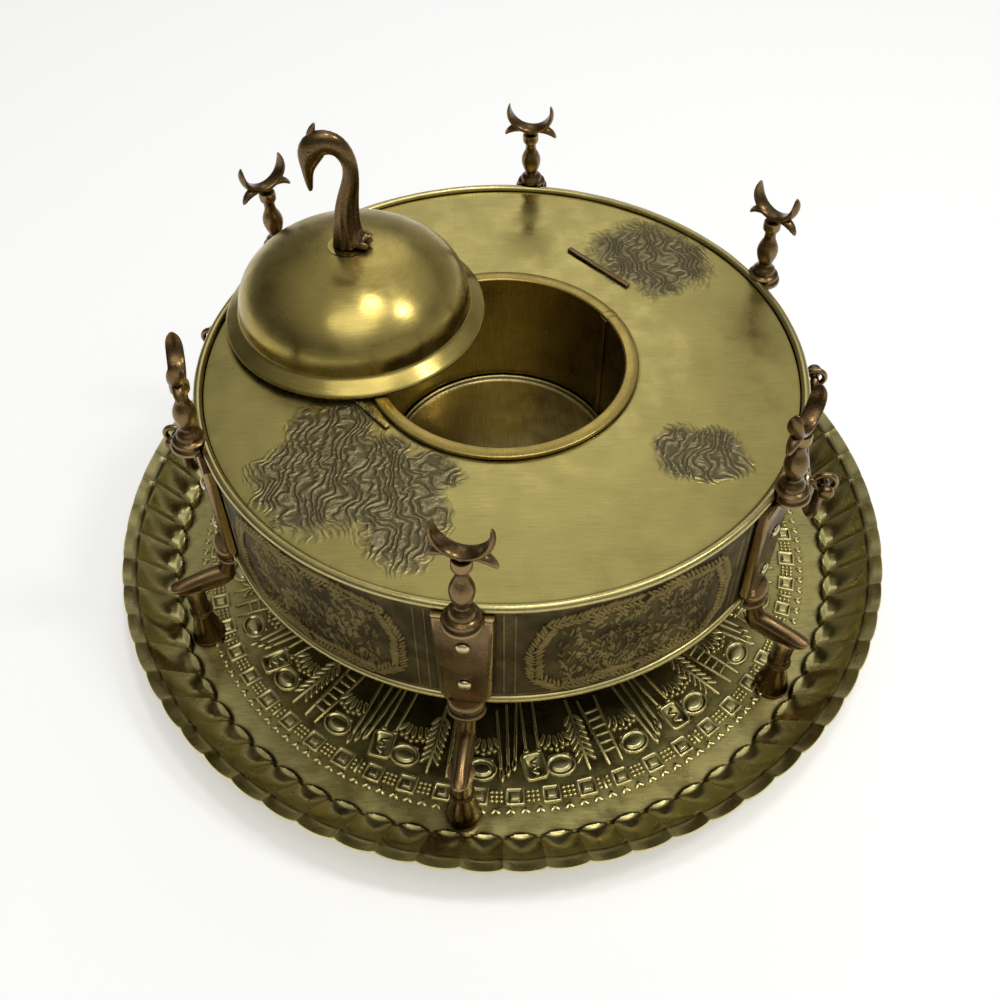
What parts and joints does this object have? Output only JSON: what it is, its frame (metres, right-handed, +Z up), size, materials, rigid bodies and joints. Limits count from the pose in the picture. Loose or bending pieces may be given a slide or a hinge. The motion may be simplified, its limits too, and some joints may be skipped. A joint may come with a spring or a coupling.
{
  "type": "charcoal brazier",
  "caption": "Round drum brazier on cast legs standing in a fluted tray, with a central fire pot, domed lid with swan knob, drop handles and crescent finials.",
  "frame": {"origin": "Middle of the tray's underside, on the surface it stands on; the drum, the fire pot and the tray share this axis", "axes": "+Z up, -Y towards the side seen first, +X to the right; the lid is set down towards -X and +Y"},
  "size_m": [0.6, 0.6, 0.3508],
  "materials": {
    "tray_sheet": "Pressed brass sheet, worn satin with dark film in the hollows",
    "embossed_sheet": "Repousse brass sheet with brown patina in the ground",
    "sheet": "Satin brass sheet with fine wiping scratches and stains",
    "polished_sheet": "Rubbed brass sheet, brighter than the rest",
    "cast_bronze": "Cast bronze, brown and worn bright on the edges",
    "bright_brass": "Plain brass, lightly tarnished"
  },
  "bodies": {
    "tray": {"tray": "tray_sheet"},
    "brazier": {"drum_wall": "embossed_sheet", "top_rim": "sheet", "bottom_rim": "sheet", "top_plate": "sheet", "bottom_plate": "sheet", "plate_strip_1": "cast_bronze", "plate_strip_2": "cast_bronze", "leg_1": "cast_bronze", "leg_2": "cast_bronze", "leg_3": "cast_bronze", "leg_4": "cast_bronze", "leg_5": "cast_bronze", "leg_6": "cast_bronze", "post_1": "cast_bronze", "post_2": "cast_bronze", "post_3": "cast_bronze", "post_4": "cast_bronze", "post_5": "cast_bronze", "post_6": "cast_bronze", "crescent_1": "cast_bronze", "crescent_2": "cast_bronze", "crescent_3": "cast_bronze", "crescent_4": "cast_bronze", "crescent_5": "cast_bronze", "crescent_6": "cast_bronze", "rivet_1_1": "bright_brass", "rivet_1_2": "bright_brass", "rivet_2_1": "bright_brass", "rivet_2_2": "bright_brass", "rivet_3_1": "bright_brass", "rivet_3_2": "bright_brass", "rivet_4_1": "bright_brass", "rivet_4_2": "bright_brass", "rivet_5_1": "bright_brass", "rivet_5_2": "bright_brass", "rivet_6_1": "bright_brass", "rivet_6_2": "bright_brass", "eye_right_1": "cast_bronze", "eye_right_2": "cast_bronze", "eye_left_1": "cast_bronze", "eye_left_2": "cast_bronze", "eye_nut_right_1": "bright_brass", "eye_nut_right_2": "bright_brass", "eye_nut_left_1": "bright_brass", "eye_nut_left_2": "bright_brass"},
    "fire_pot": {"pot_wall": "polished_sheet", "pot_floor": "sheet"},
    "lid": {"lid_dome": "polished_sheet", "lid_swan": "cast_bronze", "lid_washer": "bright_brass", "lid_screw": "bright_brass"},
    "bail_right": {"bail_right": "cast_bronze"},
    "bail_left": {"bail_left": "cast_bronze"}
  },
  "joints": [
    {"name": "brazier_lift", "type": "slide", "parent": "tray", "child": "brazier", "axis": [0, 0, 1], "range_m": [0, 0.06]},
    {"name": "fire_pot_lift", "type": "slide", "parent": "brazier", "child": "fire_pot", "axis": [0, 0, 1], "range_m": [0, 0.12]},
    {"name": "lid_lift", "type": "slide", "parent": "fire_pot", "child": "lid", "axis": [0, 0, 1], "range_m": [0, 0.12]},
    {"name": "bail_right_hinge", "type": "hinge", "parent": "brazier", "child": "bail_right", "pos_m": [0.22607, -0.02956, 0.1548], "axis": [-0.1297, -0.9916, 0], "range_deg": [0, 95]},
    {"name": "bail_left_hinge", "type": "hinge", "parent": "brazier", "child": "bail_left", "pos_m": [-0.22733, 0.01749, 0.1548], "axis": [0.0767, 0.9971, 0], "range_deg": [0, 95]}
  ]
}
